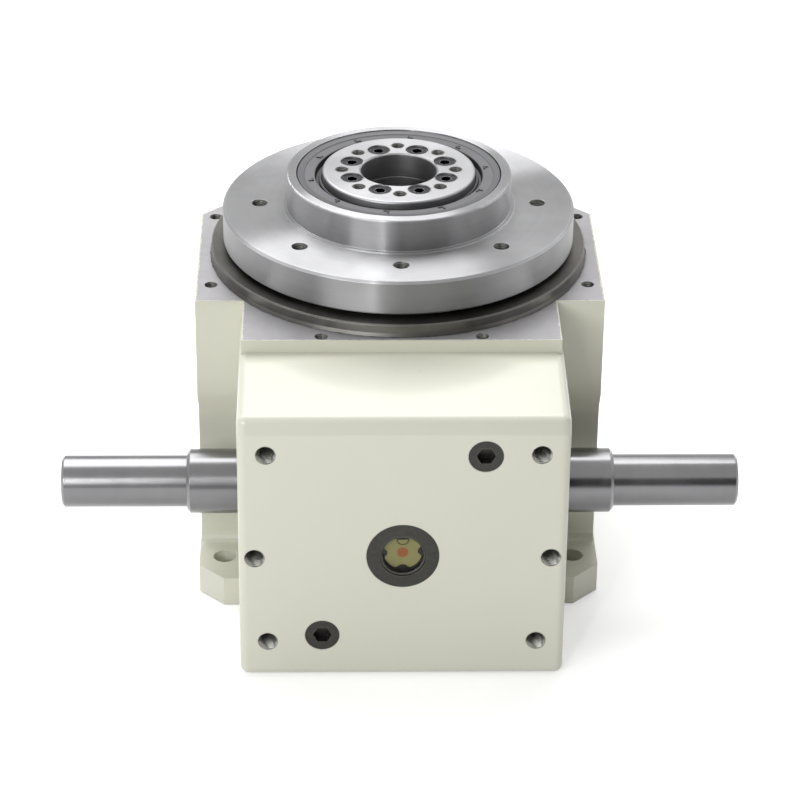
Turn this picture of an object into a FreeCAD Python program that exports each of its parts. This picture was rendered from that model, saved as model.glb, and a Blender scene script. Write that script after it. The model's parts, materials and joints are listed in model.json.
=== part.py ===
import FreeCAD, Part
import math
import os
import re

import Sketcher

# Cam indexer, table type: a globoidal cam on a horizontal input shaft turns a ring of cam followers,
# which carries a round table about a hollow fixed post.
# Millimetres. +Z is the table's axis, z = 0 is the machined base, and -Y is the cam's side.

sizes = {
    # casting
    "housing_height": 191,
    "housing_half_width": 125.6,
    "shoulder_reach": 70.5,
    "skirt_height": 125,
    "skirt_inset": 0.7,
    "skirt_blend": 9,
    "box_half_width": 97.6,
    "box_reach": 195.5,
    "box_lift": 0.5,
    "box_edge_radius": 5,
    "brow_height": 10,
    "brow_depth": 3.2,
    "roof_step": 8,
    "roof_fall": 5.4,
    "pad_half_width": 96.2,
    "pad_reach": 121.6,
    "foot_thickness": 19.4,
    "foot_reach": 115.6,
    "foot_chamfer": 16,
    "foot_fillet": 7,
    "foot_fillet_steps": 4,
    "foot_hole_radius": 7,
    "foot_hole_inset": 15.7,
    "foot_hole_setback": 26.2,
    "wall_thickness": 15,
    "floor_thickness": 20,
    "floor_boss_radius": 72,
    "floor_boss_height": 12,
    "turret_chamber_radius": 100,
    "cam_chamber_gap": 3,
    "cam_chamber_half_width": 61,
    "chamber_corner": 12,
    "bearing_ledge_height": 16,
    "bearing_ledge_width": 7,
    # tapped holes in the casting
    "top_hole_circle_radius": 126,
    "top_hole_radius": 4,
    "top_hole_count": 8,
    "top_hole_depth": 18,
    "front_hole_radius": 6,
    "front_hole_depth": 24,
    "front_corner_x": 80.7,
    "front_upper_z": 154.6,
    "front_lower_z": 25.2,
    "front_middle_x": 88,
    "front_middle_z": 84,
    "plug_radius": 10.4,
    "plug_length": 13,
    "plug_recess": 0.5,
    "plug_socket": 10,
    "plug_socket_depth": 7,
    "plug_offset": 48,
    "fill_plug_z": 153.5,
    "drain_plug_z": 29.5,
    # table, turret and bearing
    "table_radius": 110,
    "table_gap": 10.7,
    "table_thickness": 22.2,
    "table_chamfer": 1.5,
    "rim_radius": 1.5,
    "table_hole_circle_radius": 87,
    "table_hole_radius": 5,
    "table_hole_count": 8,
    "hub_radius": 70.4,
    "hub_rise": 21.4,
    "hub_foot_width": 2.4,
    "hub_foot_height": 0.8,
    "neck_boss_radius": 78,
    "bearing_bore_radius": 65,
    "bearing_outer_radius": 95,
    "bearing_width": 25,
    "bearing_split": 1.5,
    "cross_roller_diameter": 10,
    "cross_roller_count": 24,
    "ring_radius": 117.5,
    "ring_bore_radius": 84,
    "ring_thickness": 8.1,
    "ring_flare": 0.8,
    "ring_screw_circle_radius": 100.5,
    "ring_screw_count": 6,
    "ring_counterbore_depth": 6.2,
    "ring_thread_depth": 14,
    "table_seal_lip": 2,
    "table_seal_thickness": 6.5,
    "turret_flange_radius": 72,
    "turret_flange_thickness": 16,
    "turret_waist_radius": 46,
    "turret_hub_radius": 55,
    "turret_hub_half_height": 22,
    "turret_blend": 10,
    "turret_screw_circle_radius": 52,
    "turret_screw_count": 6,
    "turret_thread_depth": 14,
    # centre post and flange
    "post_bore_radius": 23.7,
    "post_radius": 38,
    "post_clearance": 1.5,
    "post_foot_radius": 62,
    "post_foot_thickness": 14,
    "post_pilot_radius": 42,
    "post_screw_circle_radius": 52,
    "post_screw_count": 4,
    "post_thread_depth": 14,
    "flange_radius": 47.75,
    "flange_thickness": 16,
    "flange_rise": 1.7,
    "bore_chamfer": 0.9,
    "flange_screw_circle_radius": 31.5,
    "flange_screw_count": 8,
    "flange_thread_depth": 18,
    "flange_hole_circle_radius": 35.5,
    "flange_hole_count": 8,
    "seal_bore_radius": 64,
    "seal_height": 10.6,
    "seal_recess": 1.4,
    "seal_shoulder": 1.4,
    "seal_lip": 2,
    "seal_groove": 6,
    "seal_back": 3,
    "ledge_depth": 4,
    # followers and cam
    "follower_count": 8,
    "follower_radius": 13,
    "follower_start": 56,
    "follower_length": 20,
    "follower_pin_radius": 7,
    "follower_shank_radius": 8,
    "follower_collar_radius": 10.5,
    "follower_seat": 53.8,
    "follower_shank_length": 13,
    "follower_head_radius": 11,
    "follower_head_thickness": 1.6,
    "centre_distance": 110,
    "shaft_height": 87,
    "cam_radius": 67,
    "cam_half_length": 46,
    "cam_hub_radius": 32,
    "cam_hub_half_length": 52,
    "rib_clearance": 0.9,
    "rib_tip_gap": 2.2,
    "rib_root_depth": 2,
    "rib_turns": 2.5,
    "rib_steps": 50,
    "cam_core_gap": 1.2,
    # input shaft and its bearings
    "shaft_half_length": 207.6,
    "shaft_end_radius": 16,
    "shaft_end_chamfer": 1.5,
    "shaft_shoulder": 130.9,
    "shaft_shoulder_chamfer": 2,
    "shaft_seal_radius": 19.9,
    "shaft_bearing_radius": 20,
    "shaft_cam_radius": 21,
    "cam_key_width": 12,
    "cam_key_height": 8,
    "cam_key_depth": 5,
    "cam_key_half_length": 30,
    "end_key_width": 10,
    "end_key_depth": 5,
    "end_key_length": 50,
    "end_key_setback": 8,
    "end_key_turn": 37.5,
    "input_bearing_radius": 34,
    "input_bearing_width": 19,
    "input_bearing_shoulder": 4,
    "input_bore_radius": 30,
    "taper_roller_radius": 4,
    "taper_roller_half_length": 6.5,
    "taper_roller_pitch": 27,
    "taper_roller_angle": 12,
    "taper_roller_count": 12,
    "snap_ring_thickness": 2.5,
    "snap_ring_depth": 2,
    "snap_ring_width": 5,
    "snap_ring_opening": 10,
    "shaft_seal_width": 9,
    "shaft_seal_recess": 0.6,
    "shaft_seal_lip": 2,
    "shaft_seal_cup": 4,
    "sleeve_radius": 25,
    "sleeve_taper": 2,
    # sight glass
    "sight_z": 85.4,
    "sight_radius": 21.7,
    "sight_rim_depth": 6,
    "sight_thread_radius": 16,
    "sight_glass_radius": 14,
    "sight_glass_thickness": 3,
    "sight_glass_recess": 1.6,
    "sight_seat_width": 3,
    "sight_reflector_thickness": 1,
    "sight_gasket_thickness": 1,
    # screws and fits
    "large_head_radius": 6.5,
    "large_head_height": 8,
    "large_shank_radius": 4,
    "large_counterbore_radius": 7,
    "large_counterbore_depth": 8.8,
    "large_socket": 6,
    "large_socket_depth": 4,
    "small_head_radius": 5,
    "small_head_height": 6,
    "small_shank_radius": 3,
    "small_counterbore_radius": 5.5,
    "small_socket": 5,
    "small_socket_depth": 3,
    "thread_spare": 2,
    "shank_clearance": 0.3,
    "running_gap": 0.06,
    "free_gap": 0.4,
    "cut_margin": 1,
}

places = {
    # heights above the base
    "table_underside": "housing_height + table_gap",
    "table_top": "table_underside + table_thickness",
    "hub_top": "table_top + hub_rise",
    "flange_top": "hub_top + flange_rise",
    "post_top": "flange_top - flange_thickness",
    "hub_ledge": "post_top - ledge_depth",
    "seal_bottom": "hub_top - seal_recess - seal_height",
    "bearing_bottom": "housing_height - bearing_width",
    "bearing_middle": "housing_height - bearing_width / 2",
    "ledge_bottom": "bearing_bottom - bearing_ledge_height",
    "ring_top": "housing_height + ring_thickness",
    "roof_back": "housing_height - roof_step",
    "roof_front": "roof_back - roof_fall",
    "boss_top": "floor_thickness + floor_boss_height",
    "turret_screw_seat": "hub_ledge - large_counterbore_depth",
    "flange_screw_seat": "flange_top - large_counterbore_depth",
    "ring_screw_seat": "ring_top - ring_counterbore_depth",
    # plan
    "corner": "housing_half_width * tan(22.5)",
    "inset_half_width": "housing_half_width - skirt_inset",
    "inset_corner": "inset_half_width * tan(22.5)",
    "inset_reach": "shoulder_reach - skirt_inset",
    "foot_hole_x": "housing_half_width - foot_hole_inset",
    "foot_hole_y": "foot_reach - foot_hole_setback",
    "bearing_ledge_radius": "bearing_outer_radius - bearing_ledge_width",
    "cam_chamber_radius": "cam_radius + cam_chamber_gap",
    "turret_bore_radius": "post_radius + post_clearance",
    "cross_pitch_radius": "(bearing_bore_radius + bearing_outer_radius) / 2",
    "cross_groove": "cross_roller_diameter / 2 * sqrt(2) + running_gap * sqrt(2)",
    "shank_hole_radius": "large_shank_radius + shank_clearance",
    "small_shank_hole_radius": "small_shank_radius + shank_clearance",
    # followers
    "follower_turn": "180 / follower_count - 90",
    "follower_end": "follower_start + follower_length",
    "follower_tip": "follower_end + follower_head_thickness + free_gap",
    "rib_tip_radius": "turret_hub_radius + rib_tip_gap",
    "cam_core_radius": "follower_tip + cam_core_gap",
    "rib_root_radius": "cam_core_radius + rib_root_depth",
    # stations along the input shaft
    "bearing_start": "cam_chamber_half_width + input_bearing_shoulder",
    "bearing_end": "bearing_start + input_bearing_width",
    "snap_ring_end": "bearing_end + snap_ring_thickness",
    "shaft_seal_end": "box_half_width - shaft_seal_recess",
    "shaft_seal_start": "shaft_seal_end - shaft_seal_width",
    "bearing_station": "(bearing_start + bearing_end) / 2",
    "taper_half_angle": "asin(taper_roller_radius * sin(taper_roller_angle) / taper_roller_pitch) / 1 deg",
    "taper_apex": "taper_roller_pitch / tan(taper_roller_angle)",
    "cup_angle": "taper_roller_angle + taper_half_angle",
    "cone_angle": "taper_roller_angle - taper_half_angle",
    # sight glass, from the front face inwards
    "sight_glass_front": "box_reach - sight_glass_recess",
    "sight_glass_back": "sight_glass_front - sight_glass_thickness",
}

match_gap = 0.01
X_AXIS = FreeCAD.Vector(1, 0, 0)
Z_AXIS = FreeCAD.Vector(0, 0, 1)

doc = FreeCAD.newDocument("CamIndexer")
pieces = []


def make_sheet(name, cells):
    sheet = doc.addObject("Spreadsheet::Sheet", name)
    for row, (alias, content) in enumerate(cells.items(), start=1):
        sheet.set(f"A{row}", alias)
        sheet.set(f"B{row}", content)
        sheet.setAlias(f"B{row}", alias)
    return sheet


def linked(text, home="Place."):
    """A formula in plain names, each pointed at the sheet that holds it. Inside Place, home is empty."""

    def owner(word):
        if word[0] in sizes:
            return "Size." + word[0]
        return home + word[0] if word[0] in places else word[0]

    return re.sub(r"[a-z_]+", owner, text)


def value(name):
    """The number behind a name, for shapes that Part's own functions make."""
    return float((size_sheet if name in sizes else place_sheet).get(name))


def bind(item, path, text):
    item.setExpression(path, linked(text))


def new_body(label, x="0", y="0", z="0", turn="0"):
    """A body of its own, placed at x, y, z and turned about Z."""
    body = doc.addObject("PartDesign::Body", label)
    body.Label = label
    body.Placement = FreeCAD.Placement(FreeCAD.Vector(), FreeCAD.Rotation(Z_AXIS, 1))
    for axis, text in (("x", x), ("y", y), ("z", z)):
        bind(body, f".Placement.Base.{axis}", text)
    bind(body, ".Placement.Rotation.Angle", turn)
    pieces.append(body)
    return body


def origin_part(body, role):
    return next(item for item in body.Origin.OriginFeatures if item.Role == role)


def new_sketch(body, name, plane, shift, turn, about):
    """A sketch on an origin plane, moved by shift and turned about one of the plane's own axes."""
    sketch = body.newObject("Sketcher::SketchObject", name)
    sketch.AttachmentSupport = [(origin_part(body, plane), "")]
    sketch.MapMode = "FlatFace"
    sketch.AttachmentOffset = FreeCAD.Placement(FreeCAD.Vector(), FreeCAD.Rotation(about, 1))
    for axis, text in zip("xyz", shift):
        bind(sketch, f".AttachmentOffset.Base.{axis}", text)
    bind(sketch, ".AttachmentOffset.Rotation.Angle", turn)
    return sketch


def pin(sketch, geometry, end, point):
    """Ties one point of the sketch to its two coordinates."""
    for direction, text in zip(("DistanceX", "DistanceY"), point):
        index = sketch.addConstraint(Sketcher.Constraint(direction, -1, 1, geometry, end, 1.0))
        bind(sketch, f"Constraints[{index}]", text)


def outline(body, name, points, plane, shift, turn="0", about=Z_AXIS):
    """A closed outline of straight lines through the points."""
    sketch = new_sketch(body, name, plane, shift, turn, about)
    count = len(points)
    start = [
        FreeCAD.Vector(math.cos(2 * math.pi * i / count), math.sin(2 * math.pi * i / count), 0)
        for i in range(count)
    ]
    for i in range(count):
        sketch.addGeometry(Part.LineSegment(start[i], start[(i + 1) % count]))
    for i in range(count):
        sketch.addConstraint(Sketcher.Constraint("Coincident", i, 2, (i + 1) % count, 1))
        pin(sketch, i, 1, points[i])
    return sketch


def circles(body, name, centres, radius, plane, shift):
    """Circles of one radius about the centres."""
    sketch = new_sketch(body, name, plane, shift, "0", Z_AXIS)
    for i, centre in enumerate(centres):
        sketch.addGeometry(Part.Circle(FreeCAD.Vector(i + 1, 1, 0), Z_AXIS, 1.0))
        pin(sketch, i, 3, centre)
        index = sketch.addConstraint(Sketcher.Constraint("Radius", i, 1.0))
        bind(sketch, f"Constraints[{index}]", radius)
    return sketch


def spin(body, name, points, axis="V_Axis", plane="XZ_Plane", shift=("0", "0", "0"), turn="0", cut=False):
    """The outline turned once about an axis of its sketch, added to the body or cut from it."""
    sketch = outline(body, name + "Outline", points, plane, shift, turn)
    feature = body.newObject("PartDesign::Groove" if cut else "PartDesign::Revolution", name)
    feature.Profile = sketch
    feature.ReferenceAxis = (sketch, [axis])
    feature.Angle = 360
    return feature


def extrude(body, name, sketch, length, cut=False, midplane=False, reverse=False):
    """The sketch pushed out along its normal, or pocketed against it."""
    feature = body.newObject("PartDesign::Pocket" if cut else "PartDesign::Pad", name)
    feature.Profile = sketch
    bind(feature, "Length", length)
    feature.Midplane = midplane
    feature.Reversed = reverse
    return feature


def around(body, name, originals, count, axis="Z_Axis"):
    pattern = body.newObject("PartDesign::PolarPattern", name)
    pattern.Originals = originals
    pattern.Axis = (origin_part(body, axis), [""])
    pattern.Angle = 360
    bind(pattern, "Occurrences", count)
    body.Tip = pattern
    return pattern


def drill(body, name, centres, radius, depth, top, plane="XY_Plane"):
    """Straight holes cut down from the height top of the plane."""
    sketch = circles(body, name + "Centres", centres, radius, plane, ("0", "0", top))
    return extrude(body, name, sketch, depth, cut=True)


def is_circle(edge, radius):
    return isinstance(edge.Curve, Part.Circle) and same(edge.Curve.Radius, radius)


def same(first, second):
    return abs(first - second) < match_gap


def round_edges(body, name, base, radius, wanted):
    """A fillet on the edges of the base feature that wanted() picks."""
    doc.recompute()
    names = [f"Edge{i}" for i, edge in enumerate(base.Shape.Edges, start=1) if wanted(edge)]
    fillet = body.newObject("PartDesign::Fillet", name)
    fillet.Base = (base, names)
    bind(fillet, "Radius", radius)
    return fillet


def round_rim(body, base, radius, height):
    """Rounds the circular edge of that radius at that height."""

    def on_rim(edge):
        limits = edge.BoundBox
        return same(limits.ZMin, value(height)) and is_circle(edge, value(radius))

    return round_edges(body, "Rim", base, "rim_radius", on_rim)


def polar(radius, angle):
    return (f"{radius} * cos({angle})", f"{radius} * sin({angle})")


def hexagon(across):
    """Corners of a hexagon of the given width across its flats."""
    return [polar(f"{across} / sqrt(3)", 60 * i) for i in range(6)]


def screw_set(label, kind, seat, length, circle, count, turn="0", up=False):
    """Socket-head screws on a circle, their heads on the seat and their shanks pointing down, or up."""
    sign = "-1" if up else "1"
    head = f"{seat} + {sign} * {kind}_head_height"
    tip = f"{seat} - {sign} * ({length})"
    body = new_body(label, turn=turn)
    profile = [
        ("0", head),
        (f"{kind}_head_radius", head),
        (f"{kind}_head_radius", seat),
        (f"{kind}_shank_radius", seat),
        (f"{kind}_shank_radius", tip),
        ("0", tip),
    ]
    screw = spin(body, "Screw", profile, shift=(circle, "0", "0"))
    socket = outline(body, "SocketOutline", hexagon(f"{kind}_socket"), "XY_Plane", (circle, "0", head))
    cut = extrude(body, "Socket", socket, f"{kind}_socket_depth", cut=True, reverse=up)
    around(body, "Set", [screw, cut], count)


def stepped_hole(kind, top, seat, bottom, direction="1"):
    """Outline of a counterbored screw hole, from its mouth at top to its end at bottom."""
    shank = "shank_hole_radius" if kind == "large" else "small_shank_hole_radius"
    return [
        ("0", top),
        (f"{kind}_counterbore_radius", top),
        (f"{kind}_counterbore_radius", seat),
        (shank, seat),
        (shank, bottom),
        ("0", bottom),
    ]


size_sheet = make_sheet("Size", {name: str(number) for name, number in sizes.items()})
place_sheet = make_sheet("Place", {name: "=" + linked(text, home="") for name, text in places.items()})
doc.recompute()


def block_outline(half_width, corner, reach):
    """Plan of the casting's block: square at the front, half an octagon at the back."""
    return [
        (f"-{half_width}", f"-{reach}"),
        (half_width, f"-{reach}"),
        (half_width, corner),
        (corner, half_width),
        (f"-{corner}", half_width),
        (f"-{half_width}", corner),
    ]


def make_housing():
    body = new_body("housing_casting")
    side = [
        ("-box_reach", "box_lift"),
        ("-box_reach", "roof_front - brow_height"),
        ("brow_depth - box_reach", "roof_front"),
        ("-pad_reach", "roof_back"),
        ("0", "roof_back"),
        ("0", "box_lift"),
    ]
    sketch = outline(body, "BoxSide", side, "YZ_Plane", ("0", "0", "0"))
    box = extrude(body, "CamBox", sketch, "2 * box_half_width", midplane=True)
    half_width, reach = value("box_half_width"), value("box_reach")

    def on_outside(edge):
        limits = edge.BoundBox
        on_side = same(min(abs(limits.XMin), abs(limits.XMax)), half_width)
        return (on_side or same(limits.YMax, -reach)) and limits.YMin < -match_gap

    round_edges(body, "CastEdges", box, "box_edge_radius", on_outside)
    lower = block_outline("inset_half_width", "inset_corner", "inset_reach")
    upper = block_outline("housing_half_width", "corner", "shoulder_reach")
    sketch = outline(body, "SkirtPlan", lower, "XY_Plane", ("0", "0", "0"))
    extrude(body, "Skirt", sketch, "skirt_height - skirt_blend")
    blend = body.newObject("PartDesign::AdditiveLoft", "SkirtBlend")
    blend.Profile = outline(body, "BlendLow", lower, "XY_Plane", ("0", "0", "skirt_height - skirt_blend"))
    blend.Sections = [outline(body, "BlendHigh", upper, "XY_Plane", ("0", "0", "skirt_height"))]
    blend.Ruled = True
    shoulders = outline(body, "ShoulderPlan", upper, "XY_Plane", ("0", "0", "skirt_height"))
    extrude(body, "Shoulders", shoulders, "housing_height - skirt_height")
    pad = [
        ("-pad_half_width", "-pad_reach"),
        ("pad_half_width", "-pad_reach"),
        ("pad_half_width", "0"),
        ("-pad_half_width", "0"),
    ]
    sketch = outline(body, "PadPlan", pad, "XY_Plane", ("0", "0", "roof_front - roof_step"))
    extrude(body, "MachinedPad", sketch, "housing_height - roof_front + roof_step")
    x, y, c = "housing_half_width", "foot_reach", "foot_chamfer"
    feet = []
    for sx, sy in ((1, -1), (1, 1), (-1, 1), (-1, -1)):
        corner = [(f"{sx} * ({x} - {c})", f"{sy} * {y}"), (f"{sx} * {x}", f"{sy} * ({y} - {c})")]
        feet += corner if sx * sy < 0 else corner[::-1]
    extrude(body, "FootPlate", outline(body, "FootPlan", feet, "XY_Plane", ("0", "0", "0")), "foot_thickness")
    steps = int(value("foot_fillet_steps"))
    root = [("-inset_reach", "foot_thickness")]
    for i in range(steps + 1):
        y, z = polar("foot_fillet", f"{i} * 90 / foot_fillet_steps")
        root.append((f"{y} - foot_fillet - inset_reach", f"foot_thickness + foot_fillet - {z}"))
    sketch = outline(body, "FootRoot", root, "YZ_Plane", ("0", "0", "0"))
    extrude(body, "FootFillet", sketch, "2 * inset_half_width", midplane=True)

    chamber = [
        ("0", "housing_height + cut_margin"),
        ("bearing_outer_radius", "housing_height + cut_margin"),
        ("bearing_outer_radius", "bearing_bottom"),
        ("bearing_ledge_radius", "bearing_bottom"),
        ("bearing_ledge_radius", "ledge_bottom"),
        ("turret_chamber_radius", "ledge_bottom"),
        ("turret_chamber_radius", "floor_thickness"),
        ("floor_boss_radius", "floor_thickness"),
        ("floor_boss_radius", "boss_top"),
        ("0", "boss_top"),
    ]
    spin(body, "TurretChamber", chamber, cut=True)
    post_hole = [
        ("0", "-cut_margin"),
        ("post_foot_radius + free_gap", "-cut_margin"),
        ("post_foot_radius + free_gap", "post_foot_thickness"),
        ("post_pilot_radius", "post_foot_thickness"),
        ("post_pilot_radius", "boss_top + cut_margin"),
        ("0", "boss_top + cut_margin"),
    ]
    spin(body, "PostHole", post_hole, cut=True)
    cam_bore = [
        ("-cam_chamber_half_width", "0"),
        ("-cam_chamber_half_width", "cam_chamber_radius"),
        ("cam_chamber_half_width", "cam_chamber_radius"),
        ("cam_chamber_half_width", "0"),
    ]
    on_shaft = ("0", "shaft_height", "centre_distance")
    spin(body, "CamBore", cam_bore, "H_Axis", shift=on_shaft, cut=True)
    front = "-(box_reach - wall_thickness)"
    back = "-(centre_distance - chamber_corner)"
    low, high, c = "box_lift + wall_thickness", "roof_front - wall_thickness", "chamber_corner"
    room = [
        (front, f"{low} + {c}"),
        (f"{front} + {c}", low),
        (back, low),
        (back, high),
        (f"{front} + {c}", high),
        (front, f"{high} - {c}"),
    ]
    sketch = outline(body, "CamRoomSide", room, "YZ_Plane", ("0", "0", "0"))
    extrude(body, "CamRoom", sketch, "2 * cam_chamber_half_width", cut=True, midplane=True)
    for side in ("1", "-1"):
        bore = [
            (f"{side} * (cam_chamber_half_width - cut_margin)", "0"),
            (f"{side} * (cam_chamber_half_width - cut_margin)", "input_bore_radius"),
            (f"{side} * bearing_start", "input_bore_radius"),
            (f"{side} * bearing_start", "input_bearing_radius"),
            (f"{side} * bearing_end", "input_bearing_radius"),
            (f"{side} * bearing_end", "input_bearing_radius + snap_ring_depth"),
            (f"{side} * snap_ring_end", "input_bearing_radius + snap_ring_depth"),
            (f"{side} * snap_ring_end", "input_bearing_radius"),
            (f"{side} * (box_half_width + cut_margin)", "input_bearing_radius"),
            (f"{side} * (box_half_width + cut_margin)", "0"),
        ]
        spin(body, "BearingBore", bore, "H_Axis", shift=on_shaft, cut=True)

    top = polar("top_hole_circle_radius", "180 / top_hole_count")
    holes = drill(body, "TopHole", [top], "top_hole_radius", "top_hole_depth", "housing_height")
    around(body, "TopHoles", [holes], "top_hole_count")
    centre = [("ring_screw_circle_radius", "0")]
    holes = drill(body, "RingThread", centre, "small_shank_radius", "ring_thread_depth", "housing_height")
    around(body, "RingThreads", [holes], "ring_screw_count")
    holes = drill(
        body,
        "PostThread",
        [polar("post_screw_circle_radius", "180 / post_screw_count")],
        "large_shank_radius",
        "post_thread_depth",
        "post_foot_thickness",
    )
    holes.Reversed = True
    around(body, "PostThreads", [holes], "post_screw_count")
    feet = [(f"{sx} * foot_hole_x", f"{sy} * foot_hole_y") for sx in (1, -1) for sy in (1, -1)]
    drill(body, "FootHoles", feet, "foot_hole_radius", "foot_thickness + cut_margin", "foot_thickness")
    front = [(f"{side} * front_corner_x", z) for side in (1, -1) for z in ("front_upper_z", "front_lower_z")]
    front += [(f"{side} * front_middle_x", "front_middle_z") for side in (1, -1)]
    drill(body, "FrontThreads", front, "front_hole_radius", "front_hole_depth", "box_reach", "XZ_Plane")
    ports = [("plug_offset", "fill_plug_z"), ("-plug_offset", "drain_plug_z")]
    depth = "wall_thickness + chamber_corner"
    drill(body, "PlugPorts", ports, "plug_radius", depth, "box_reach", "XZ_Plane")
    eye = [("0", "sight_z")]
    drill(body, "SightRim", eye, "sight_radius", "sight_rim_depth", "box_reach", "XZ_Plane")
    depth = "wall_thickness + cut_margin"
    drill(body, "SightPort", eye, "sight_thread_radius", depth, "box_reach", "XZ_Plane")


def make_post():
    body = new_body("centre_post", turn="180 / post_screw_count")
    tube = [
        ("post_bore_radius", "0"),
        ("post_foot_radius", "0"),
        ("post_foot_radius", "post_foot_thickness"),
        ("post_pilot_radius", "post_foot_thickness"),
        ("post_pilot_radius", "boss_top"),
        ("post_radius", "boss_top"),
        ("post_radius", "post_top"),
        ("post_bore_radius", "post_top"),
    ]
    spin(body, "Tube", tube)
    centre = polar("flange_screw_circle_radius", "180 / flange_screw_count")
    hole = drill(body, "TopThread", [centre], "large_shank_radius", "flange_thread_depth", "post_top")
    around(body, "TopThreads", [hole], "flange_screw_count")
    inner_end = "post_foot_thickness + cut_margin"
    mouth = stepped_hole("large", "-cut_margin", "large_counterbore_depth", inner_end)
    hole = spin(body, "FootHole", mouth, shift=("post_screw_circle_radius", "0", "0"), cut=True)
    around(body, "FootHoles", [hole], "post_screw_count")
    screw_set(
        "post_screws",
        "large",
        "large_counterbore_depth",
        "post_foot_thickness - large_counterbore_depth + post_thread_depth - thread_spare",
        "post_screw_circle_radius",
        "post_screw_count",
        turn="180 / post_screw_count",
        up=True,
    )


def make_flange():
    body = new_body("centre_flange")
    disc = [
        ("post_bore_radius", "post_top"),
        ("flange_radius", "post_top"),
        ("flange_radius", "flange_top"),
        ("post_bore_radius + bore_chamfer", "flange_top"),
        ("post_bore_radius", "flange_top - bore_chamfer"),
    ]
    round_rim(body, spin(body, "Disc", disc), "flange_radius", "flange_top")
    centre = [("flange_hole_circle_radius", "0")]
    radius = "large_shank_radius"
    hole = drill(body, "Thread", centre, radius, "flange_thickness", "flange_top")
    around(body, "Threads", [hole], "flange_hole_count")
    turn = "180 / flange_screw_count"
    centre = [polar("flange_screw_circle_radius", turn)]
    depth = "large_counterbore_depth"
    wide = drill(body, "Counterbore", centre, "large_counterbore_radius", depth, "flange_top")
    narrow = drill(body, "ShankHole", centre, "shank_hole_radius", "flange_thickness", "flange_top")
    around(body, "Counterbores", [wide, narrow], "flange_screw_count")
    screw_set(
        "centre_flange_screws",
        "large",
        "flange_screw_seat",
        "flange_thickness - large_counterbore_depth + flange_thread_depth - thread_spare",
        "flange_screw_circle_radius",
        "flange_screw_count",
        turn=turn,
    )


def make_table():
    body = new_body("output_table")
    section = [
        ("turret_bore_radius", "bearing_bottom"),
        ("bearing_bore_radius", "bearing_bottom"),
        ("bearing_bore_radius", "housing_height"),
        ("neck_boss_radius", "housing_height"),
        ("neck_boss_radius", "table_underside"),
        ("table_radius - table_chamfer", "table_underside"),
        ("table_radius", "table_underside + table_chamfer"),
        ("table_radius", "table_top - table_chamfer"),
        ("table_radius - table_chamfer", "table_top"),
        ("hub_radius + hub_foot_width", "table_top"),
        ("hub_radius + hub_foot_width", "table_top + hub_foot_height"),
        ("hub_radius", "table_top + hub_foot_height"),
        ("hub_radius", "hub_top"),
        ("seal_bore_radius", "hub_top"),
        ("seal_bore_radius", "seal_bottom"),
        ("seal_bore_radius - seal_shoulder", "seal_bottom"),
        ("seal_bore_radius - seal_shoulder", "hub_ledge"),
        ("turret_bore_radius", "hub_ledge"),
    ]
    round_rim(body, spin(body, "Turned", section), "hub_radius", "hub_top")
    centre = [("table_hole_circle_radius", "0")]
    hole = drill(body, "Thread", centre, "table_hole_radius", "table_thickness", "table_top")
    around(body, "Threads", [hole], "table_hole_count")
    lower_end = "bearing_bottom - cut_margin"
    mouth = stepped_hole("large", "hub_ledge + cut_margin", "turret_screw_seat", lower_end)
    hole = spin(body, "TurretScrewHole", mouth, shift=("turret_screw_circle_radius", "0", "0"), cut=True)
    around(body, "TurretScrewHoles", [hole], "turret_screw_count")
    screw_set(
        "turret_screws",
        "large",
        "turret_screw_seat",
        "turret_screw_seat - bearing_bottom + turret_thread_depth - thread_spare",
        "turret_screw_circle_radius",
        "turret_screw_count",
    )


def make_turret():
    body = new_body("turret", turn="follower_turn")
    low = "shaft_height - turret_hub_half_height"
    high = "shaft_height + turret_hub_half_height"
    section = [
        ("turret_bore_radius", low),
        ("turret_hub_radius", low),
        ("turret_hub_radius", high),
        ("turret_waist_radius", f"{high} + turret_blend"),
        ("turret_waist_radius", "bearing_bottom - turret_flange_thickness"),
        ("turret_flange_radius", "bearing_bottom - turret_flange_thickness"),
        ("turret_flange_radius", "bearing_bottom"),
        ("turret_bore_radius", "bearing_bottom"),
    ]
    spin(body, "Turned", section)
    centre = [polar("turret_screw_circle_radius", "-follower_turn")]
    hole = drill(body, "Thread", centre, "large_shank_radius", "turret_thread_depth", "bearing_bottom")
    around(body, "Threads", [hole], "turret_screw_count")
    seat = [
        ("turret_hub_radius + cut_margin", "0"),
        ("turret_hub_radius + cut_margin", "follower_collar_radius + free_gap"),
        ("follower_seat", "follower_collar_radius + free_gap"),
        ("follower_seat", "follower_shank_radius"),
        ("turret_bore_radius - cut_margin", "follower_shank_radius"),
        ("turret_bore_radius - cut_margin", "0"),
    ]
    seat = spin(body, "FollowerSeat", seat, "H_Axis", shift=("0", "shaft_height", "0"), cut=True)
    around(body, "FollowerSeats", [seat], "follower_count")


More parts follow.
